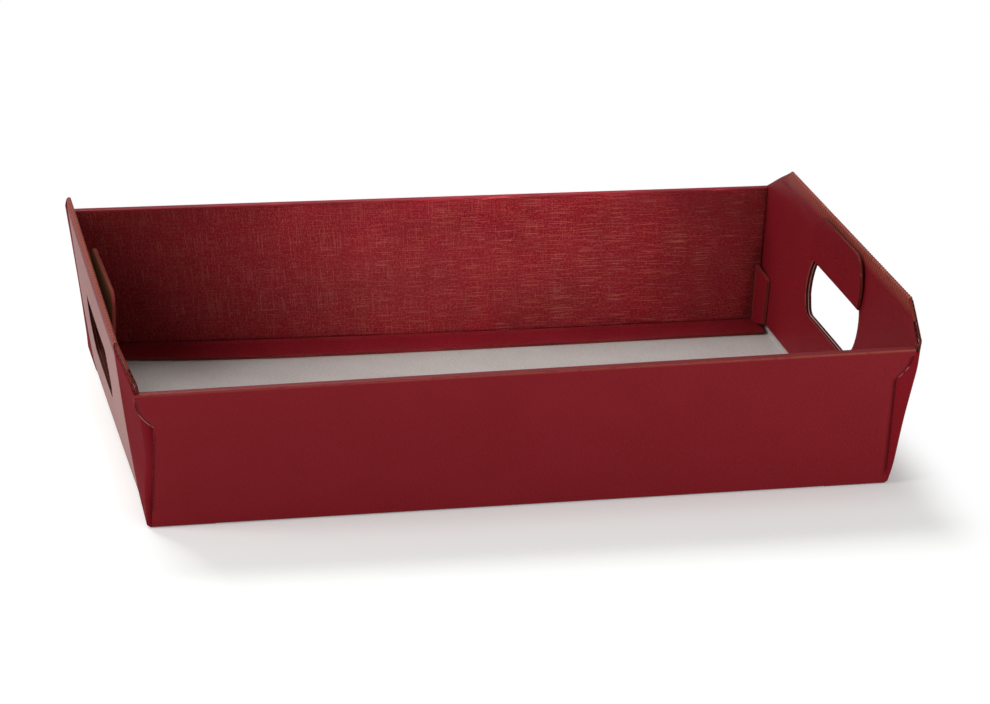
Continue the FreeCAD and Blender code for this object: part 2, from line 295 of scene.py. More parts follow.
class Sheet:
    """The points and faces of one mesh, each with its place on the flat sheet, and its wear and painted
    sheen.
    """

    SHARP_ANGLE = math.radians(40)
    MERGE = 0.002

    def __init__(self):
        self.points = []
        self.faces = []
        self.finishes = []
        self.flat = []
        self.wear = []

    def grid(self, columns, rows, place, finish, flat=None, wear=None, flip=False, grain=PLAIN_GRAIN):
        """A net of faces, where place(column, row) gives each point."""
        first = len(self.points)
        for row in rows:
            for column in columns:
                self.points.append(place(column, row))
                self.flat.append(flat(column, row) if flat else (column, row))
                self.wear.append((wear(column, row) if wear else 0.0, grain))
        wide = len(columns)
        for j in range(len(rows) - 1):
            for i in range(wide - 1):
                a = first + j * wide + i
                face = (a, a + 1, a + 1 + wide, a + wide)
                self.faces.append(face[::-1] if flip else face)
                self.finishes.append(finish)

    def both_faces(self, columns, rows, place, board, flip, front="red", back="grey", flat=None, wear=None,
                   grain=PLAIN_GRAIN):
        """The two faces of a board, where place(column, row, depth) gives each point."""
        self.grid(columns, rows, lambda c, r: place(c, r, 0), front, flat, wear, flip, grain)
        self.grid(columns, rows, lambda c, r: place(c, r, board), back, flat, flip=not flip)

    def paint(self, mesh, materials):
        """Give each face its material, its place on the flat sheet, and its wear and painted sheen."""
        for material in materials.values():
            mesh.materials.append(material)
        order = list(materials)
        flat = mesh.uv_layers.new(name="flat_sheet")
        wear = mesh.uv_layers.new(name="wear")
        for polygon, finish in zip(mesh.polygons, self.finishes):
            polygon.material_index = order.index(finish)
            polygon.use_smooth = True
            for loop in polygon.loop_indices:
                corner = mesh.loops[loop].vertex_index
                flat.data[loop].uv = [c * MM for c in self.flat[corner]]
                wear.data[loop].uv = self.wear[corner]

    def build(self, name, materials):
        """The mesh object, with points that meet made one."""
        mesh = bpy.data.meshes.new(name)
        mesh.from_pydata([tuple(c * MM for c in p) for p in self.points], [], self.faces)
        self.paint(mesh, materials)
        soft = bmesh.new()
        soft.from_mesh(mesh)
        bmesh.ops.remove_doubles(soft, verts=soft.verts, dist=self.MERGE * MM)
        bmesh.ops.dissolve_degenerate(soft, edges=soft.edges, dist=self.MERGE * MM / 10)
        soft.to_mesh(mesh)
        soft.free()
        mesh.set_sharp_from_angle(angle=self.SHARP_ANGLE)
        return add_object(name, mesh)


def cut_edge(card, line, inward, place, flat, across=None, closed=False, board=BOARD, liner="cut"):
    """The cut edge of a board: two liners, a recess between them painted dark as shade, and the flutes in it.

    line has the edge's points on the sheet, inward(i) points into the card from each of them,
    and place(point, depth) puts a point of the sheet in space. across gives a point's distance
    across the flutes, where the cut crosses them.
    """
    line = line + line[:1] if closed else line
    steps = range(len(line))

    def moved(i, inset):
        way = inward(i % (len(line) - 1) if closed else i)
        return (line[i][0] + way[0] * inset, line[i][1] + way[1] * inset)

    def strip(bands, finish):
        card.grid(steps, bands, lambda i, band: place(moved(i, band[1]), band[0]), finish,
                  flat=lambda i, band: flat(line[i]))

    far = board - LINER
    strip([(0.0, 0.0), (LINER, 0.0)], liner)
    # The recess between the liners: painted shade
    strip([(LINER, 0.0), (LINER, CUT_RECESS), (far, CUT_RECESS), (far, 0.0)], "dim")
    strip([(far, 0.0), (board, 0.0)], liner)
    if across is None:
        return
    wall = FLUTE_PAPER / 2
    swing = board / 2 - LINER - wall

    def flute(i, offset):
        return board / 2 + swing * math.sin(2 * math.pi * across(line[i]) / FLUTE_PITCH) + offset

    ribbon = [(CUT_RECESS, -wall), (FLUTE_RECESS, -wall), (FLUTE_RECESS, wall), (CUT_RECESS, wall)]
    card.grid(steps, ribbon, lambda i, edge: place(moved(i, edge[0]), flute(i, edge[1])), "flute",
              flat=lambda i, edge: flat(line[i]))


# Long walls: one strip from the floor up, over the rim, down inside and onto the floor
EDGE_FOOT = corners(184.1, 184.1, 184.3, 184.3)
EDGE_LEAN = corners(0.2, -0.4, 0.2, 0.2)
SLIT_HEIGHT = corners(55.4, 57.6, 55.4, 55.4)
SLIT_RADIUS = 20.0
HORN = corners(193.9, 192.2, 193.8, 193.4)
HORN_DROP = 0.5
REAR_RIM_LIFT = 1.1
RIM_DIP = 0.15
RIM_WEAR = {FRONT: (0.3, 0.7), REAR: (0.0, 0.0)}
FOOT_WEAR = 0.15
BOW_RADIUS = 420.0
CREASE = 0.8
CREASE_DIP = 0.3
END_CLEARANCE = 0.25

# The foot of each inner layer and the free edge of its flap: y and height, how much further out it
# is at the left end, and the power by which that fades towards the right
FEET = {FRONT: ((113.0, 5.4, 0.0, 1), (90.0, 3.6, 0.0, 1)),
        REAR: ((103.8, 5.0, 12.0, 2.2), (86.8, 3.4, 13.4, 6))}
FLAP_HEIGHT = 4.0
FLAP_SLOPE = 0.01

# Torn fibres along the slits, as shares of the way from the slit's bend to the rim
FRAYED = {(LEFT, FRONT): ((0.0, 0.42),), (RIGHT, FRONT): ((0.05, 0.18), (0.26, 0.40))}
FRAY_WIDTH = 0.3
FRAY_PROUD = 0.06


def share_of(x):
    """How far along the tray x is, from 0 at the left end to 1 at the right."""
    return 0.5 + 0.5 * x / HALF_LENGTH


def foot_of(side, x):
    """Foot crease and free edge of the flap on the floor: (y, z) of each, on the red face."""
    to_left = 1 - share_of(x)
    return [(y + skew * to_left ** power, z) for y, z, skew, power in FEET[side]]


def section(side, x):
    """Red face of a long wall at x: (zone, (y, z), thickness, wear) from the floor to the flap's edge.

    y is measured outwards, so that both walls share one section.
    """
    foot, edge = foot_of(side, x)
    floor, base = (HALF_WIDTH - FLOOR_STRIP, 0.0), (HALF_WIDTH, 0.0)
    rim_outer, rim_inner = (RIM_OUTSIDE, RIM), (RIM_INSIDE, RIM)
    bow = arc_between(foot, rim_inner, BOW_RADIUS, 12)[::-1]
    worn = mix(*RIM_WEAR[side], share_of(x))
    rows = []

    def add(zone, points, thickness=BOARD, wear=0.0):
        last = max(1, len(points) - 1)
        for k, point in enumerate(points):
            rows.append((zone, point, thickness, wear * math.sin(math.pi * k / last) ** 3))

    def from_foot(towards):
        return tuple(Vector(foot) + (Vector(towards) - Vector(foot)).normalized() * CREASE)

    add("floor", [floor])
    add("floor", fillet(floor, base, rim_outer, FOLD, 5), CREASED_BOARD, FOOT_WEAR)
    add("outer", [(HALF_WIDTH + z * TAN, z) for z in spaced(3, 55, 7) + spaced(57, RIM - 2.5, 9)])
    add("rim", fillet(base, rim_outer, rim_inner, FOLD, 6), CREASED_BOARD, worn)
    add("rim", [(mix(RIM_OUTSIDE, RIM_INSIDE, 0.5), RIM - RIM_DIP)])
    add("rim", fillet(rim_outer, rim_inner, bow[1], FOLD, 6), CREASED_BOARD, worn)
    add("inner", bow[1:-1])
    add("inner", [from_foot(bow[-2]), (foot[0] + CREASE, foot[1] - CREASE_DIP)], CREASED_BOARD)
    add("flap", [from_foot(edge)])
    add("flap", [tuple(mix(a, b, share) for a, b in zip(foot, edge)) for share in (0.3, 0.6, 0.85, 1.0)])
    return rows


def inner_x(z):
    """Half the length between the inner faces of the end walls, at a height."""
    return HALF_LENGTH + z * TAN - END_DEPTH / COS - END_CLEARANCE


def outer_end(end, side, z):
    """Where a long wall's outer layer ends along X: a straight cut, then a curve out to its horn."""
    corner = (end, side)
    slit = SLIT_HEIGHT[corner]
    if z <= slit:
        return EDGE_FOOT[corner] + EDGE_LEAN[corner] * z / slit
    start = (EDGE_FOOT[corner] + EDGE_LEAN[corner], slit)
    tip = (HORN[corner], RIM - HORN_DROP)
    curve = arc_between(start, tip, max(SLIT_RADIUS, math.dist(start, tip)), 16)
    low = ([p for p in curve if p[1] <= z] or curve[:1])[-1]
    high = ([p for p in curve if p[1] > z] or curve[-1:])[0]
    share = 0 if high[1] == low[1] else (z - low[1]) / (high[1] - low[1])
    return mix(low[0], high[0], share)


def long_end(end, side, zone, y, z):
    """Where a long wall ends along X, in each of its zones."""
    if zone == "floor":
        return EDGE_FOOT[end, side]
    if zone == "outer":
        return outer_end(end, side, z)
    if zone == "rim":
        share = min(1.0, max(0.0, (RIM_OUTSIDE - y) / RIM_WIDTH))
        return mix(HORN[end, side], inner_x(RIM), share)
    if zone == "inner":
        return inner_x(z) + min(0.0, bulge(end, side * y, z / COS))
    return inner_x(FLAP_HEIGHT) - FLAP_SLOPE * (foot_of(side, 0)[0][0] - y)


def wall_line(side, x):
    """Each row of a long wall at x: (zone, y, z, normal into the board, thickness, wear)."""
    rows = section(side, x)
    points = [row[1] for row in rows]
    line = []
    for row, before, after in zip(rows, points[:1] + points, points[1:] + points[-1:]):
        zone, (y, z), thickness, wear = row
        line.append((zone, y, z, right_of(after, before), thickness, wear))
    return line


def slit_cut(card, end, side, heights):
    """The cut end of a long wall's outer layer: dull up the straight part, pale along the curve."""
    line = resampled([(outer_end(end, side, z), z) for z in heights], FLUTE_STEP)

    def put(j, depth):
        x, z = line[j]
        return settle(end * x, side * (HALF_WIDTH + z * TAN - depth * COS), z + depth * SIN)

    straight = [j for j, point in enumerate(line) if point[1] <= SLIT_HEIGHT[end, side]]
    for part, finish in ((straight, "dull"), (range(straight[-1], len(line)), "pale_cut")):
        card.grid(part, [0, BOARD], put, finish, flat=lambda j, depth: (depth, line[j][1]))


def long_wall(card, side):
    """One long wall: its red face, its grey face and the cut edges that show."""
    shares = [-1.0, -0.985, -0.96, -0.93] + spaced(-0.9, 0.9, 54) + [0.93, 0.96, 0.985, 1.0]
    lines = [wall_line(side, share * HALF_LENGTH) for share in shares]
    zones = [row[0] for row in lines[0]]
    lengths = distances_along([row[1:3] for row in lines[0]])
    columns, rows = range(len(shares)), range(len(zones))

    def place(i, k, depth_share):
        zone, y, z, normal, thickness, _ = lines[i][k]
        share = shares[i]
        x = share * long_end(RIGHT if share > 0 else LEFT, side, zone, y, z)
        depth = depth_share * thickness
        z += normal[1] * depth
        lift = REAR_RIM_LIFT * (1 - share) / 2 * z / RIM if side == REAR else 0.0
        return settle(x, side * (y + normal[0] * depth), z + lift)

    def flat(i, k):
        return (shares[i] * HALF_LENGTH, LONG_SHEET * side + lengths[k])

    inside = zones.index("inner") - 2
    lying = zones.index("flap")
    for part, grain in ((rows[:inside + 1], OUTSIDE_GRAIN), (rows[inside:lying], INSIDE_GRAIN),
                        (rows[lying - 1:], FLAP_GRAIN)):
        card.grid(columns, part, lambda i, k: place(i, k, 0), "red", flat=flat,
                  wear=lambda i, k: lines[i][k][5], flip=side == REAR, grain=grain)
    card.grid(columns, rows, lambda i, k: place(i, k, 1), "grey", flat=flat, flip=side == FRONT)
    # Ends of the strip, and the flap's free edge
    outer = [k for k in rows if zones[k] == "outer"]
    for i, end in ((columns[0], LEFT), (columns[-1], RIGHT)):
        for part in (rows[:outer[0] + 1], rows[outer[-1]:]):
            card.grid([0, 1], part, lambda d, k: place(i, k, d), "cut", flat=lambda d, k: (d, lengths[k]))
        slit_cut(card, end, side, [lines[i][k][2] for k in outer])
    card.grid(columns, [0, 1], lambda i, d: place(i, rows[-1], d), "cut",
              flat=lambda i, d: (shares[i] * HALF_LENGTH, d))


def frayed_slit(card, end, side):
    """Pale torn fibres that stand on the edge of a long wall, along parts of the slit above it."""
    slit = SLIT_HEIGHT[end, side]

    def put(z, share):
        x = outer_end(end, side, z) - FRAY_WIDTH * share * random.uniform(0.6, 1.2)
        y = HALF_WIDTH + z * TAN + FRAY_PROUD * COS
        return settle(end * x, side * y, z - FRAY_PROUD * SIN)

    for low, high in FRAYED.get((end, side), ()):
        heights = spaced(mix(slit, RIM, low), mix(slit, RIM, high), 12)
        card.grid(heights, [0, 1], put, "fray", flip=end * side > 0)


# End walls: outer layer with its corners, the fold over the top, and the inner layer
SHOULDER_HEIGHT = corners(77.0, 74.8, 75.5, 73.0)
SHOULDER_INSET = 1.4
INNER_LOWER = 0.3
MID_HEIGHT = 42.0
MID_INSET = {LEFT: 3.4, RIGHT: 2.0}
FOOT_INSET = 3.4
# The left hand hole's cut edge is painted in shade; the right one's is plain cut card
HOLE_LINER = {LEFT: "dim", RIGHT: "cut"}
HOLE_WEAR = 0.7
# Painted sheen in the worn colour over each end wall's outer face, strongest on the left end
OUTSIDE_PAINTED_SHEEN = {LEFT: 0.35, RIGHT: 0.1}
SPOKE_STEP = 4

# The top strip: how far down each face it goes, its ridges over the flutes and its wear
RIDGED = 7.0
RIDGE = 0.5
WORN = 7.0
TOP_ROWS = (
    [("outer", s) for s in spaced(STRAIGHT_TOP - RIDGED, STRAIGHT_TOP, 6)]
    + [("fold", angle) for angle in spaced(0, math.pi, 10)[1:-1]]
    + [("inner", s) for s in spaced(STRAIGHT_TOP, STRAIGHT_TOP - RIDGED, 8)]
)

# The corners: how round they are, and the web that each ends in
FOOT_RADIUS = 1.2
CORNER_RADIUS = {LEFT: 6.0, RIGHT: 2.6}
TOP_RADIUS = {LEFT: 3.5, RIGHT: 2.2}
ROUND_HEIGHT = 35.0
TOP_ROUND_HEIGHT = 40.0
WEB_END = 32.0
WEB_TOP = 69.0
FACET_START = 90
FACET_RUN = 40

# Shares of the strip from an end wall's crease: where the corner's turn starts and ends, and where
# the web has come down to its level top
TURN, TURNED, WEB = 0.55, 0.8, 0.85


def hole_outline(margin):
    """A hand hole's outline, anticlockwise as seen along the wall's y and s."""
    top, bottom = HOLE_TOP + margin, HOLE_BOTTOM - margin
    half_top, half_bottom = HOLE_HALF_TOP + margin, HOLE_HALF_BOTTOM + margin
    side = arc_between((half_bottom, bottom), (half_top, top), HOLE_SIDE_RADIUS + margin, 14)
    right = fillet((0, bottom), side[0], side[4], HOLE_CORNER, 6) + side[5:]
    return right + [(-y, s) for y, s in reversed(right)]


def hole_half(share):
    """Half a hand hole's width, a share of the way down from its top."""
    chord = math.dist((HOLE_HALF_BOTTOM, HOLE_HEIGHT), (HOLE_HALF_TOP, 0))
    rise = HOLE_SIDE_RADIUS - math.sqrt(HOLE_SIDE_RADIUS ** 2 - chord * chord / 4)
    return mix(HOLE_HALF_TOP, HOLE_HALF_BOTTOM, share) + rise * 4 * share * (1 - share)


def shoulder_top(end, side, y):
    """How high up an end wall its shoulder is, at y."""
    foot = SHOULDER_HEIGHT[end, side] / COS
    return mix(STRAIGHT_TOP, foot, (y - HALF_TOP) / (CORNER_SHOULDER - HALF_TOP))


def shoulder_y(end, side, s):
    """The half-width of the inner layer at a height within its shoulder."""
    foot = SHOULDER_HEIGHT[end, side] / COS
    return mix(CORNER_SHOULDER, HALF_TOP, (s - foot) / (STRAIGHT_TOP - foot))


def top_side(end, side, zone, value):
    """Half the width of the top strip at one of its rows."""
    if zone == "outer":
        return crease_y(value)
    if zone == "inner":
        return shoulder_y(end, side, value)
    return HALF_TOP


def top_distance(zone, value):
    """How far a row of the top strip is from the fold, down either face."""
    return 0.0 if zone == "fold" else STRAIGHT_TOP - value


def crest(y):
    """1 on the crest of a flute and 0 between two of them."""
    return 0.5 + 0.5 * math.cos(2 * math.pi * y / FLUTE_PITCH)


def top_point(end, y, row, face):
    """A point of the top strip: face 0 is the red one, ridged by the flutes, and 1 the grey one."""
    zone, value = row
    fade = 1 - smooth(top_distance(zone, value) / RIDGED)
    ridge = RIDGE * fade * (1 - crest(y)) if face == 0 else 0.0
    if zone == "outer":
        return on_end(end, y, value, ridge + face * END_BOARD)
    if zone == "inner":
        return on_end(end, y, value, inner_depth(value) - ridge - face * END_BOARD)
    radius = TOP_FOLD - ridge - face * CREASED_BOARD
    s = STRAIGHT_TOP + radius * math.sin(value)
    return on_end(end, y, s, TOP_FOLD - radius * math.cos(value))


def top_strip(card, end):
    """The top of an end wall, where the sheet turns over and the flutes show as ridges."""
    fine = [y / HALF_TOP for (y,) in resampled([(-HALF_TOP,), (HALF_TOP,)], FLUTE_STEP)]
    coarse = spaced(-1, 1, 60)
    lengths = distances_along([top_point(end, 0, row, 0) for row in TOP_ROWS])
    indices = range(len(TOP_ROWS))

    def across(share, k):
        return share * top_side(end, REAR if share > 0 else FRONT, *TOP_ROWS[k])

    def place(share, k, face):
        return top_point(end, across(share, k), TOP_ROWS[k], face)

    def flat(share, k):
        return (STRAIGHT_TOP - RIDGED + lengths[k], across(share, k) + end * END_SHEET)

    def wear(share, k):
        zone, value = TOP_ROWS[k]
        reach = WORN if zone == "inner" else WORN / 3
        worn = 1 - smooth(top_distance(zone, value) / reach)
        # Worn at the fold and most on the ridges' crests: partly real wear, partly painted highlights on the
        # crests
        return (0.3 + 0.7 * crest(across(share, k)) ** 2) * worn

    card.grid(fine, indices, lambda f, k: place(f, k, 0), "red", flat=flat, wear=wear, flip=end == LEFT,
              grain=END_INSIDE_GRAIN)
    card.grid(coarse, indices, lambda f, k: place(f, k, 1), "grey", flat=flat, flip=end == RIGHT)
    for side in (FRONT, REAR):
        card.grid([0, 1], indices, lambda face, k: place(side, k, face), "cut", flip=side * end > 0)


def holed_panel(card, end, outline, margin, outward):
    """A layer of an end wall round its hand hole, between the hole and the layer's outline."""
    hole = hole_outline(margin)
    angles = [math.atan2(s - HOLE_MIDDLE, y) for y, s in hole + outline]
    angles += [math.radians(a) for a in range(-180, 180, SPOKE_STEP)]
    angles = sorted(set(round(a, 6) for a in angles))
    angles.append(angles[0] + 2 * math.pi)
    spokes = [(a, reach_of(hole, HOLE_MIDDLE, a), reach_of(outline, HOLE_MIDDLE, a)) for a in angles]
    rings = [0.0, 0.02, 0.05] + spaced(0.12, 1, 8)

    def on_spoke(spoke, ring):
        angle, near, far = spoke
        reach = mix(near, far, ring)
        return reach * math.cos(angle), HOLE_MIDDLE + reach * math.sin(angle)

    def put(point, into):
        y, s = point
        return on_end(end, y, s, into if outward else inner_depth(s) - into)

    def flat(spoke, ring):
        y, s = on_spoke(spoke, ring)
        return (s if outward else -s, y + end * END_SHEET)

    # The hole's edge is worn; the rest of an outer face has painted sheen
    card.both_faces(spokes, rings, lambda spoke, ring, into: put(on_spoke(spoke, ring), into), END_BOARD,
                    flip=(end == RIGHT) == outward, flat=flat,
                    wear=lambda spoke, ring: HOLE_WEAR if ring == 0 else OUTSIDE_PAINTED_SHEEN[end] * outward,
                    grain=END_OUTSIDE_GRAIN if outward else END_INSIDE_GRAIN)
    line = resampled(hole + hole[:1], FLUTE_STEP)[:-1]
    cut_edge(card, line, lambda i: right_of(line[i - 1], line[(i + 1) % len(line)]), put,
             lambda p: (p[1], p[0] + end * END_SHEET), closed=True, board=END_BOARD, liner=HOLE_LINER[end])


def corner_radius(end, s):
    """How round the corner of an end wall is, at a height: tight at the floor, open above it."""
    if s < ROUND_HEIGHT:
        return mix(FOOT_RADIUS, CORNER_RADIUS[end], smooth(s / ROUND_HEIGHT))
    return mix(CORNER_RADIUS[end], TOP_RADIUS[end], smooth((s - ROUND_HEIGHT) / TOP_ROUND_HEIGHT))


def facet_top(end, side, share):
    """How high the strip from an end wall's crease to its web's end is, a share of the way along."""
    turn_top = shoulder_top(end, side, CORNER_SHOULDER - TOP_RADIUS[end])
    tops = ((0.0, STRAIGHT_TOP), (TURN, turn_top), (TURNED, RIM - BOARD), (WEB, WEB_TOP))
    for (low, start), (high, stop) in zip(tops, tops[1:]):
        if share <= high:
            return mix(start, stop, (share - low) / (high - low))
    return WEB_TOP


def facet_point(end, side, share, row_share, depth):
    """A point of the sheet from an end wall's crease, round the corner and behind the long wall."""
    s = row_share * facet_top(end, side, share)
    radius = corner_radius(end, s)
    turn_y = corner_y(s) - radius
    if share <= TURN:
        return on_end(end, side * mix(crease_y(s), turn_y, share / TURN), s, depth)
    x, y, z = on_end(end, side * turn_y, s, depth)
    inner = radius - depth
    angle = min(1.0, (share - TURN) / (TURNED - TURN)) * math.pi / 2
    run = max(0.0, (share - TURNED) / (1 - TURNED)) * (WEB_END - radius)
    return (x - end * (inner * (1 - math.cos(angle)) + run), y + side * inner * math.sin(angle), z)


def corner_facet(card, end, side):
    """The corner of an end wall and the web that tucks in behind the long wall."""
    columns = spaced(0, TURN, 12) + spaced(TURN, TURNED, 10)[1:] + [WEB, 0.9, 1.0]
    rows = [0, 0.012, 0.03, 0.06, 0.1] + spaced(0.15, 1, 17)
    place = partial(facet_point, end, side)

    def flat(column, row):
        return (row * SHOULDER, side * (FACET_START + column / TURN * FACET_RUN) + end * END_SHEET)

    card.both_faces(columns, rows, place, END_BOARD, flip=end * side < 0, front="dull", flat=flat,
                    grain=FACET_GRAIN)
    # The shoulder's cut edge: a point has its reach along the edge, then its column and its inset
    shoulder = [c for c in columns if c <= TURNED]
    reaches = distances_along([place(c, 1, 0) for c in shoulder])
    line = resampled(list(zip(reaches, shoulder)), FLUTE_STEP)

    def on_shoulder(point, depth):
        column = min(line, key=lambda near: abs(near[0] - point[0]))[1]
        return place(min(TURNED, column), 1 - (point[1] - column) / SHOULDER, depth)

    cut_edge(card, line, lambda i: (0.0, 1.0), on_shoulder, lambda p: p, across=lambda p: p[0],
             board=END_BOARD)
    # The web's own top and end
    card.grid([c for c in columns if c >= TURNED], [0, END_BOARD], lambda c, d: place(c, 1, d), "cut")
    card.grid([0, END_BOARD], rows, lambda d, r: place(1.0, r, d), "cut")


def inner_side(end):
    """The side edge of the inner layer, from its middle down: clear of the corner's rounding."""
    return [(corner_y(MID_HEIGHT) - MID_INSET[end], MID_HEIGHT),
            (corner_y(INNER_FOOT) - FOOT_INSET, INNER_FOOT)]


def inner_outline(end):
    """The inner layer of an end wall below its top strip, anticlockwise from its foot."""
    low = STRAIGHT_TOP - RIDGED
    shoulder = CORNER_SHOULDER - SHOULDER_INSET
    middle, foot = inner_side(end)
    return [(-foot[0], foot[1]), foot, middle,
            (shoulder, SHOULDER_HEIGHT[end, REAR] / COS), (shoulder_y(end, REAR, low), low),
            (-shoulder_y(end, FRONT, low), low), (-shoulder, SHOULDER_HEIGHT[end, FRONT] / COS),
            (-middle[0], middle[1])]


def inner_cut(card, end, side, line, inward):
    """A cut edge of an end wall's inner layer, along a line that side mirrors across the wall."""
    cut_edge(card, line, inward, lambda p, into: on_end(end, side * p[0], p[1], inner_depth(p[1]) - into),
             lambda p: (p[1], p[0] + end * END_SHEET), across=lambda p: p[0], board=END_BOARD)


def inner_shoulder(card, end, side):
    """The inner layer's shoulder edge, side edge and the short piece between them."""
    foot = SHOULDER_HEIGHT[end, side] / COS
    line = [(HALF_TOP, STRAIGHT_TOP - INNER_LOWER), (CORNER_SHOULDER - SHOULDER_INSET, foot - INNER_LOWER)]
    line = resampled(line + inner_side(end), FLUTE_STEP)
    last = len(line) - 1
    inner_cut(card, end, side, line, lambda i: right_of(line[max(0, i - 1)], line[min(last, i + 1)]))


def end_wall(card, end):
    """One end wall: outer layer, corners, top fold and inner layer."""
    top_strip(card, end)
    low = STRAIGHT_TOP - RIDGED
    outer = [(-crease_y(0), 0.0), (crease_y(0), 0.0), (crease_y(low), low), (-crease_y(low), low)]
    holed_panel(card, end, outer, 0.0, True)
    inner = inner_outline(end)
    holed_panel(card, end, inner, HOLE_MARGIN, False)
    inner_cut(card, end, REAR, resampled(inner[:2], FLUTE_STEP), lambda i: (0.0, 1.0))
    for side in (FRONT, REAR):
        corner_facet(card, end, side)
        inner_shoulder(card, end, side)


# Flaps: the handle flaps at the hand holes and the side tabs at the corners
HINGE_REACH = END_DEPTH + 0.4
HINGE_BEND = FOLD + 0.4
HANDLE_LEAN = {LEFT: (9.5, 4.5), RIGHT: (3.0, 2.0)}
HANDLE_SIDE_GAP = 0.4
HANDLE_CORNER = 5.0
TAB_LOW = 2.6
TAB_HIGH = 33.0
TAB_WIDTH = 15.0
TAB_SLOPE = 4.0
TAB_LIFT = 0.4
TAB_ROOT = 2.4
TAB_OVERLAP = 0.6
TAB_WEAR = 0.3
FLOOR_GAP_X = 0.2
FLOOR_GAP_Y = 0.6


def handle_point(end, share, distance, depth):
    """A point of a handle flap: distance from its hinge at the hole's top, depth from its red face."""
    half = hole_half(distance / HANDLE_LENGTH) - HANDLE_SIDE_GAP
    tip = HANDLE_LENGTH - distance
    if tip < HANDLE_CORNER:
        half -= HANDLE_CORNER - math.sqrt(max(0.0, HANDLE_CORNER ** 2 - (HANDLE_CORNER - tip) ** 2))
    y = share * half
    if distance <= HINGE_REACH:
        return on_end(end, y, HOLE_TOP + depth, distance)
    # Past the hole it bends up, until it stands at its lean
    front, rear = HANDLE_LEAN[end]
    lean = math.radians(mix(front, rear, 0.5 + 0.5 * y / HOLE_HALF_TOP))
    rise = distance - HINGE_REACH
    bend = HINGE_BEND * math.pi / 2
    angle = min(1.0, rise / bend) * (math.pi / 2 - lean)
    straight = max(0.0, rise - bend)
    radius = HINGE_BEND - depth
    reach = HINGE_REACH + radius * math.sin(angle) + straight * math.cos(angle)
    height = HOLE_TOP + HINGE_BEND - radius * math.cos(angle) + straight * math.sin(angle)
    return on_end(end, y, height, reach)


def handle_flap(card, end):
    """A handle flap: it comes in through the hole and stands up against the inner layer."""
    shares = spaced(-1, 1, 44)
    distances = [0, 1.5, 3] + [HINGE_REACH + d for d in (0, 0.5, 1.0, 1.5, 2.0, 2.5, 3.2)]
    distances += spaced(HINGE_REACH + 4.5, HANDLE_LENGTH - HANDLE_CORNER, 8)
    distances += [HANDLE_LENGTH - HANDLE_CORNER * (1 - math.sin(a)) for a in spaced(0, math.pi / 2, 7)[1:]]
    place = partial(handle_point, end)
    # The flap's back, against the wall, is painted dark as shade
    card.both_faces(shares, distances, place, BOARD, flip=end == RIGHT, back="back",
                    flat=lambda f, d: (HOLE_TOP - d, f * HOLE_HALF_TOP + end * END_SHEET))
    for share in (-1, 1):
        card.grid([0, BOARD], distances, lambda depth, d: place(share, d, depth), "cut", flip=share * end > 0)
    line = [(f, HANDLE_LENGTH) for (f,) in resampled([(-1.0,), (1.0,)], FLUTE_STEP / HOLE_HALF_BOTTOM)]
    cut_edge(card, line, lambda i: (0.0, -1.0), lambda p, depth: place(p[0], p[1], depth),
             lambda p: (p[1], p[0]), across=lambda p: p[0] * HOLE_HALF_BOTTOM)


def tab_point(end, side, reach, share, depth):
    """A point of a side tab: reach from its root in the long wall's inner layer, share up it."""
    slope = TAB_SLOPE * reach / TAB_WIDTH
    z = mix(TAB_LOW + slope, TAB_HIGH - slope, share)
    foot_y, foot_z = foot_of(side, end * HALF_LENGTH)[0]
    root = foot_y + (z - foot_z) * (RIM_INSIDE - foot_y) / (RIM - foot_z) + TAB_OVERLAP
    into = END_DEPTH + mix(TAB_ROOT, TAB_LIFT, smooth(reach / TAB_WIDTH)) + (BOARD - depth)
    return on_end(end, side * (root - reach), (z - into * SIN) / COS, into)


def side_tab(card, end, side):
    """A tab of the long wall's inner layer, folded onto the face of the end wall."""
    reaches = spaced(0, TAB_WIDTH, 8)
    shares = spaced(0, 1, 12)
    turned = end * side > 0
    place = partial(tab_point, end, side)
    card.both_faces(reaches, shares, place, BOARD, flip=turned, wear=lambda r, v: TAB_WEAR if r == 0 else 0.0,
                    flat=lambda r, v: (HALF_LENGTH + r, LONG_SHEET * side + 20 * v))
    for share in (0, 1):
        card.grid(reaches, [0, BOARD], lambda r, d: place(r, share, d), "cut", flip=(share == 1) == turned)
    for reach in (0, TAB_WIDTH):
        card.grid(shares, [0, BOARD], lambda v, d: place(reach, v, d), "cut", flip=(reach == 0) == turned)


def floor_panel(card):
    """The floor: grey inside and red underneath."""
    columns = spaced(-1, 1, 40)
    rows = spaced(-1, 1, 26)

    def top(i, j):
        return settle(i * (HALF_LENGTH - FLOOR_GAP_X), j * (HALF_WIDTH - FLOOR_GAP_Y), BOARD)

    def under(i, j):
        return settle(i * (HALF_LENGTH - FOLD), j * (HALF_WIDTH - FLOOR_STRIP), 0.0)

    def flat(i, j):
        return (i * HALF_LENGTH, j * HALF_WIDTH)

    card.grid(columns, rows, top, "grey", flat=flat)
    card.grid(columns, rows, under, "red", flat=flat, flip=True)


# Shader helpers
def feed(made, **sockets):
    """Set a node's properties and sockets, or link others' outputs to them; _0 is its first socket."""
    for name, value in sockets.items():
        if hasattr(made, name) and not name[0].isupper():
            setattr(made, name, value)
            continue
        socket = made.inputs[int(name[1:]) if name[0] == "_" else name.replace("_", " ")]
        if isinstance(value, bpy.types.NodeSocket):
            made.id_data.links.new(value, socket)
        else:
            socket.default_value = value
    return made


def node(tree, kind, **sockets):
    """A new shader node, fed."""
    return feed(tree.nodes.new("ShaderNode" + kind), **sockets)


def calc(tree, operation, *values):
    """A math node's output."""
    sockets = {f"_{place}": value for place, value in enumerate(values)}
    return node(tree, "Math", operation=operation, **sockets).outputs[0]


def times(tree, first, second):
    """The product of two values."""
    return calc(tree, "MULTIPLY", first, second)


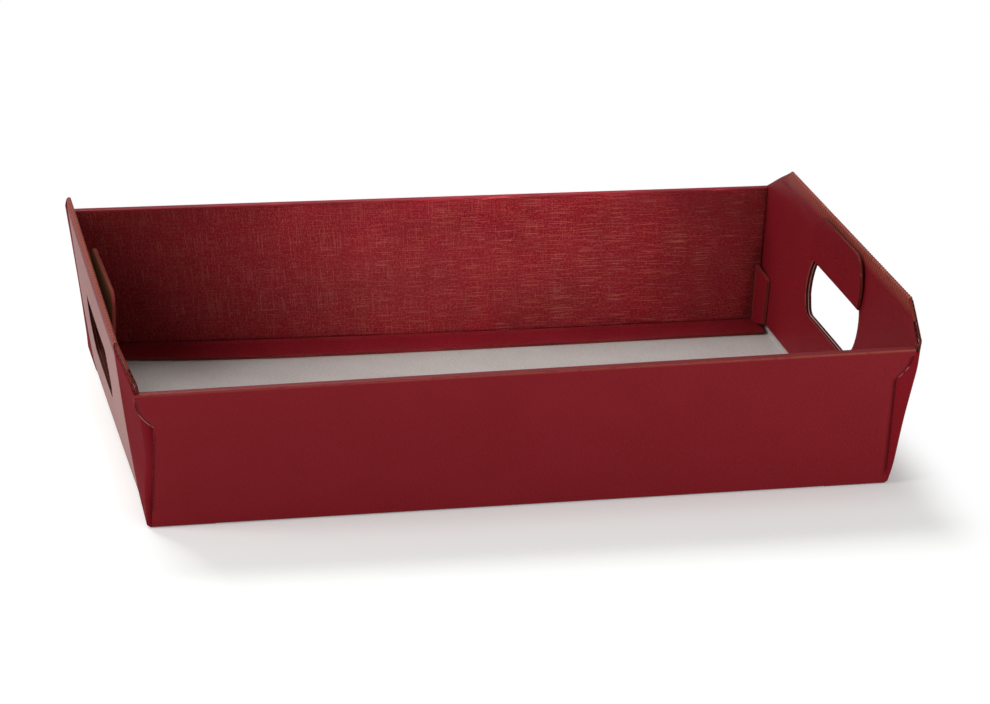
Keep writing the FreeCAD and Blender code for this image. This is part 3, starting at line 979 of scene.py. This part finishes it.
def blend(tree, share, first, second):
    """A colour between two, by share."""
    return node(tree, "Mix", data_type="RGBA", _0=share, _6=first, _7=second).outputs[2]


def above(tree, value, low, high):
    """0 below low, 1 above high and eased between them."""
    made = node(tree, "MapRange", interpolation_type="SMOOTHSTEP", Value=value, From_Min=low, From_Max=high)
    return made.outputs["Result"]


def layer(tree, name):
    """A place's values in one of the mesh's layers."""
    return node(tree, "UVMap", uv_map=name).outputs["UV"]


def parts(tree, vector):
    """The X, Y and Z of a vector."""
    return node(tree, "SeparateXYZ", Vector=vector).outputs[:]


def stretched_noise(tree, along, across, detail=2.0, shift=0.0):
    """Noise drawn out along the sheet: its grain is along by across, in millimetres."""
    scaled = node(tree, "Mapping", vector_type="POINT", Vector=layer(tree, "flat_sheet"),
                  Scale=(1 / (along * MM), 1 / (across * MM), 1), Location=(shift, shift * 0.7, shift))
    return node(tree, "TexNoise", noise_dimensions="2D", Vector=scaled.outputs["Vector"],
                Scale=1.0, Detail=detail, Roughness=0.55).outputs["Fac"]


def new_material(name, roughness, specular):
    """A material with its shader, whose constant values are set on the shader itself."""
    material = bpy.data.materials.new(name)
    material.use_nodes = True
    tree = material.node_tree
    shader = feed(tree.nodes["Principled BSDF"], Roughness=roughness, Specular_IOR_Level=specular)
    return material, tree, shader


# Finishes of the card
RED = (0.172, 0.0072, 0.0130, 1)
RED_DEEP = (0.165, 0.0066, 0.0115, 1)
# Painted shade between the linen's threads, and painted highlights on the threads
PAINTED_VALLEY_SHADE = (0.090, 0.0028, 0.0040, 1)
PAINTED_THREAD_HIGHLIGHT = (0.310, 0.092, 0.062, 1)
# The paler colour of worn card, also used for painted sheen and painted highlights
WEAR_AND_SHEEN_RED = (0.300, 0.090, 0.058, 1)
RED_SHINE = (1.0, 0.62, 0.56, 1)
THREAD, THREAD_WIDTH = 1.8, 0.42
KNOT = 0.7
SLUB, SLUB_WIDTH = 16.0, 0.40
SLUB_HEIGHT = 0.8
LINEN_DEPTH = 0.0006

GREY = (0.345, 0.306, 0.289, 1)
GREY_FIBRE = (0.414, 0.375, 0.355, 1)
GREY_CLOUD = (0.450, 0.417, 0.400, 1)
GREY_SPECK = (0.20, 0.17, 0.16, 1)

# Bare paper: its material's name, and the two colours that its fibres are between
PAPERS = {
    "cut": ("cut_board", (0.125, 0.013, 0.011, 1), (0.190, 0.032, 0.024, 1)),
    "pale_cut": ("pale_cut_board", (0.42, 0.12, 0.10, 1), (0.55, 0.22, 0.19, 1)),
    "fray": ("torn_fibres", (0.36, 0.14, 0.13, 1), (0.52, 0.27, 0.25, 1)),
    # A handle flap's grey back, painted dark brown as shade
    "back": ("shaded_back", (0.120, 0.035, 0.010, 1), (0.150, 0.046, 0.014, 1)),
    "flute": ("flute_paper", (0.16, 0.03, 0.024, 1), (0.26, 0.07, 0.055, 1)),
    # Painted shade: the dark recess of a cut edge, and the left hand hole's edge
    "dim": ("shaded_board", (0.050, 0.008, 0.006, 1), (0.080, 0.014, 0.010, 1)),
}


def linen(tree, grain):
    """The height of the fine weave, and of the few thick threads where the grain is strong.

    Upright threads stand out towards the left of the tray, and level ones towards the right, after the way
    the light grazes them there; the painted shade and highlights drawn from the weave follow this.
    """
    to_right = above(tree, parts(tree, layer(tree, "flat_sheet"))[0], -HALF_LENGTH * MM, HALF_LENGTH * MM)

    def both_ways(level, upright, level_gain, upright_gain):
        # A gain is how much stronger the threads are at the right end, then their strength at the left
        level = times(tree, level, calc(tree, "MULTIPLY_ADD", to_right, *level_gain))
        upright = times(tree, upright, calc(tree, "MULTIPLY_ADD", to_right, *upright_gain))
        return calc(tree, "ADD", level, upright)

    level = stretched_noise(tree, THREAD, THREAD_WIDTH)
    upright = stretched_noise(tree, THREAD_WIDTH, THREAD, shift=5.0)
    knots = stretched_noise(tree, KNOT, KNOT, detail=1.0, shift=9.0)
    weave = calc(tree, "ADD", both_ways(level, upright, (1.0, 0.5), (-1.0, 1.5)), knots)
    level = above(tree, stretched_noise(tree, SLUB, SLUB_WIDTH, 1.0, shift=11.0), 0.61, 0.69)
    upright = above(tree, stretched_noise(tree, SLUB_WIDTH, SLUB, 1.0, shift=17.0), 0.64, 0.72)
    slubs = both_ways(level, upright, (1.0, 0.2), (-0.6, 0.8))
    return weave, times(tree, slubs, above(tree, grain, 0.35, 0.9))


def red_linen(name, roughness, specular, specular_floor):
    """Red laminate embossed with a linen weave: fine threads both ways, and a few thick ones.

    The wear-and-sheen layer holds how worn a place is, or how much painted sheen it has, and how strongly the
    weave stands out there.
    """
    material, tree, shader = new_material(name, roughness, specular)
    worn, grain, _ = parts(tree, layer(tree, "wear"))
    weave, slubs = linen(tree, grain)
    height = times(tree, calc(tree, "MULTIPLY_ADD", slubs, SLUB_HEIGHT, weave), grain)
    bump = node(tree, "Bump", Strength=1.0, Distance=LINEN_DEPTH, Height=height)
    tone = stretched_noise(tree, 40.0, 30.0, detail=1.0, shift=3.0)
    base = blend(tree, above(tree, tone, 0.3, 0.7), RED_DEEP, RED)
    # Painted shade between the threads, and painted highlights on them and on the thick threads, as strongly
    # as the grain
    for share, strength, colour in ((above(tree, weave, 1.7, 1.2), 0.6, PAINTED_VALLEY_SHADE),
                                    (above(tree, weave, 1.5, 2.0), 0.35, PAINTED_THREAD_HIGHLIGHT),
                                    (slubs, 0.5, PAINTED_THREAD_HIGHLIGHT)):
        base = blend(tree, times(tree, times(tree, share, grain), strength), base, colour)
    patches = above(tree, stretched_noise(tree, 5.0, 1.5, shift=23.0), 0.05, 0.5)
    # Paler in patches: real wear at folds, rims and hole edges, painted sheen on the end walls' outer faces,
    # and painted highlights on the top strip's crests
    base = blend(tree, times(tree, worn, patches), base, WEAR_AND_SHEEN_RED)
    shine = calc(tree, "MAXIMUM", calc(tree, "MULTIPLY_ADD", grain, -0.7, specular), specular_floor)
    feed(shader, Base_Color=base, Normal=bump.outputs["Normal"], Specular_Tint=RED_SHINE,
         Specular_IOR_Level=shine)
    return material


def grey_board():
    """The plain back of the board: recycled grey paper with a faint fibre."""
    material, tree, shader = new_material("grey_board", 0.9, 0.15)
    fibre = stretched_noise(tree, 1.6, 0.5, detail=4.0, shift=2.0)
    cloud = stretched_noise(tree, 40.0, 30.0, detail=3.0, shift=8.0)
    speck = stretched_noise(tree, 0.9, 0.9, detail=0.0, shift=31.0)
    base = blend(tree, above(tree, fibre, 0.3, 0.7), GREY, GREY_FIBRE)
    base = blend(tree, times(tree, above(tree, cloud, 0.3, 0.8), 0.35), base, GREY_CLOUD)
    base = blend(tree, above(tree, speck, 0.88, 0.90), base, GREY_SPECK)
    bump = node(tree, "Bump", Strength=0.25, Distance=0.00006, Height=fibre)
    feed(shader, Base_Color=base, Normal=bump.outputs["Normal"])
    return material


def bare_paper(name, dark, light):
    """Bare paper, for the edges of the board, and painted dark as shade for what stays in the shade."""
    material, tree, shader = new_material(name, 0.88, 0.1)
    fibre = stretched_noise(tree, 0.7, 0.7, detail=3.0, shift=4.0)
    feed(shader, Base_Color=blend(tree, fibre, dark, light))
    return material


# The stage, in metres: where the floor that the camera sees fades from shaded to plain white
FLOOR_HALF = 6.0
FLOOR_DROP = 0.0004
FADE_AROUND = (0.22, 0.56)
FADE_RIGHT = (0.185, 0.225)
FADE_BEHIND = (0.02, 0.16)
FLOOR_PLAIN = (0.8, 0.8, 0.8, 1)
FLOOR_SHADED = (0.93, 0.96, 0.94, 1)
FLOOR_GLOW = (1, 0.99, 0.985, 1)
FLOOR_GLOW_STRENGTH = 0.19
WHITE = (1, 1, 1, 1)
WORLD_LIGHT = 0.20

# Each lamp: place, target and size in metres, power in watts and spread in degrees
MIDDLE = (0, 0, 0.04)
REAR_WALL = (0.035, 0.13, 0.062)
LAMPS = {
    "key_light": ((-0.35, 1.2, 1.5), MIDDLE, (1.3, 0.8), 30, 180),
    "front_light": ((-0.10, -1.9, 0.55), MIDDLE, (1.2, 0.5), 6.8, 180),
    "low_light": ((0.9, -1.1, 0.15), MIDDLE, (0.8, 0.22), 8.6, 180),
    "rear_wall_light": ((0.30, -1.7, 0.95), REAR_WALL, (0.22, 0.05), 0.19, 6),
    "left_light": ((-1.6, -0.3, 1.2), MIDDLE, (1.0, 1.0), 20, 180),
}

CAMERA_PLACE = (-418.2, -1885.4, 756.5)
CAMERA_YAW = math.radians(12.82)
CAMERA_PITCH = math.radians(20.514)
CAMERA_ROLL = math.radians(-1.547)
CAMERA_LENS = 145.4545
SENSOR = 36.0


def floor_material():
    """A white floor that keeps the shadow: for the camera it is lifted to the white of the paper."""
    material = bpy.data.materials.new("stage_white")
    material.use_nodes = True
    tree = material.node_tree
    tree.nodes.clear()
    plain = node(tree, "BsdfDiffuse", Color=FLOOR_PLAIN)
    shaded = node(tree, "BsdfDiffuse", Color=FLOOR_SHADED)
    glow = node(tree, "Emission", Color=FLOOR_GLOW, Strength=FLOOR_GLOW_STRENGTH)
    shaded = node(tree, "AddShader", _0=shaded.outputs[0], _1=glow.outputs[0])
    white = node(tree, "Emission", Color=WHITE, Strength=1.0)
    # The white sets in further from the tray, and to the right of it and behind it, painting out the tray's
    # shadow on those sides
    place = node(tree, "NewGeometry").outputs["Position"]
    length = node(tree, "VectorMath", operation="LENGTH", _0=place).outputs["Value"]
    x, y, _ = parts(tree, place)
    beside = calc(tree, "MAXIMUM", above(tree, x, *FADE_RIGHT), above(tree, y, *FADE_BEHIND))
    away = calc(tree, "MAXIMUM", above(tree, length, *FADE_AROUND), beside)
    lifted = node(tree, "MixShader", _0=away, _1=shaded.outputs[0], _2=white.outputs[0])
    # Light that bounces off the floor comes from the plain one
    ray = node(tree, "LightPath")
    seen = calc(tree, "MAXIMUM", ray.outputs["Is Camera Ray"], ray.outputs["Is Glossy Ray"])
    final = node(tree, "MixShader", _0=seen, _1=plain.outputs[0], _2=lifted.outputs[0])
    node(tree, "OutputMaterial", Surface=final.outputs[0])
    return material


def add_stage():
    """The floor that the tray stands on."""
    corners = [(-FLOOR_HALF, -FLOOR_HALF, 0), (FLOOR_HALF, -FLOOR_HALF, 0),
               (FLOOR_HALF, FLOOR_HALF, 0), (-FLOOR_HALF, FLOOR_HALF, 0)]
    mesh = bpy.data.meshes.new("stage_floor")
    mesh.from_pydata(corners, [], [(0, 1, 2, 3)])
    mesh.materials.append(floor_material())
    floor = add_object("stage_floor", mesh)
    floor.location.z = -FLOOR_DROP


def add_world():
    """Soft white surroundings, plain white where they are seen."""
    world = bpy.data.worlds.new("studio")
    bpy.context.scene.world = world
    world.use_nodes = True
    tree = world.node_tree
    tree.nodes.clear()
    seen = node(tree, "LightPath").outputs["Is Camera Ray"]
    strength = calc(tree, "MULTIPLY_ADD", seen, 1 - WORLD_LIGHT, WORLD_LIGHT)
    back = node(tree, "Background", Color=WHITE, Strength=strength)
    node(tree, "OutputWorld", Surface=back.outputs[0])


def add_softbox(name, place, target, size, power, spread):
    """A rectangular soft lamp that looks at a target."""
    lamp = bpy.data.lights.new(name, "AREA")
    lamp.shape = "RECTANGLE"
    lamp.size, lamp.size_y = size
    lamp.energy = power
    lamp.spread = math.radians(spread)
    box = add_object(name, lamp)
    box.location = place
    box.rotation_euler = (Vector(target) - Vector(place)).to_track_quat("-Z", "Y").to_euler()


def add_lights():
    """A large lamp above and behind for the soft shadow in front, and weaker ones for the walls.

    Two light the front wall, a narrow one the rear wall's inner face, and one the left end.
    """
    for name, values in LAMPS.items():
        add_softbox(name, *values)


def add_camera():
    """The photograph's view: from the left, looking down on the tray through a long lens."""
    ahead = Vector((math.sin(CAMERA_YAW) * math.cos(CAMERA_PITCH),
                    math.cos(CAMERA_YAW) * math.cos(CAMERA_PITCH), -math.sin(CAMERA_PITCH)))
    level = Vector((math.cos(CAMERA_YAW), -math.sin(CAMERA_YAW), 0))
    down = ahead.cross(level)
    right = level * math.cos(CAMERA_ROLL) + down * math.sin(CAMERA_ROLL)
    up = level * math.sin(CAMERA_ROLL) - down * math.cos(CAMERA_ROLL)
    data = bpy.data.cameras.new("camera")
    data.lens = CAMERA_LENS
    data.sensor_width = SENSOR
    data.clip_end = 50
    camera = add_object("camera", data)
    turn = Matrix((right, up, -ahead)).transposed().to_4x4()
    camera.matrix_world = Matrix.Translation(Vector(CAMERA_PLACE) * MM) @ turn
    bpy.context.scene.camera = camera


def fold_card(card):
    """Every part of the folded sheet."""
    floor_panel(card)
    for side in (FRONT, REAR):
        long_wall(card, side)
        for end in (LEFT, RIGHT):
            frayed_slit(card, end, side)
    for end in (LEFT, RIGHT):
        end_wall(card, end)
        handle_flap(card, end)
        for side in (FRONT, REAR):
            side_tab(card, end, side)


# The scene
bpy.context.scene.view_settings.view_transform = "Standard"
add_camera()
add_stage()
add_world()
add_lights()

materials = {
    "red": red_linen("red_linen", 0.40, 0.22, 0.08),
    "dull": red_linen("dull_red_linen", 0.80, 0.05, 0.04),
    "grey": grey_board(),
}
materials.update({finish: bare_paper(*paper) for finish, paper in PAPERS.items()})
card = Sheet()
fold_card(card)
folded_card = card.build("folded_card", materials)
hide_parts("tray")
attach(folded_card, "root")
print("triangles", sum(len(p.vertices) - 2 for p in folded_card.data.polygons))
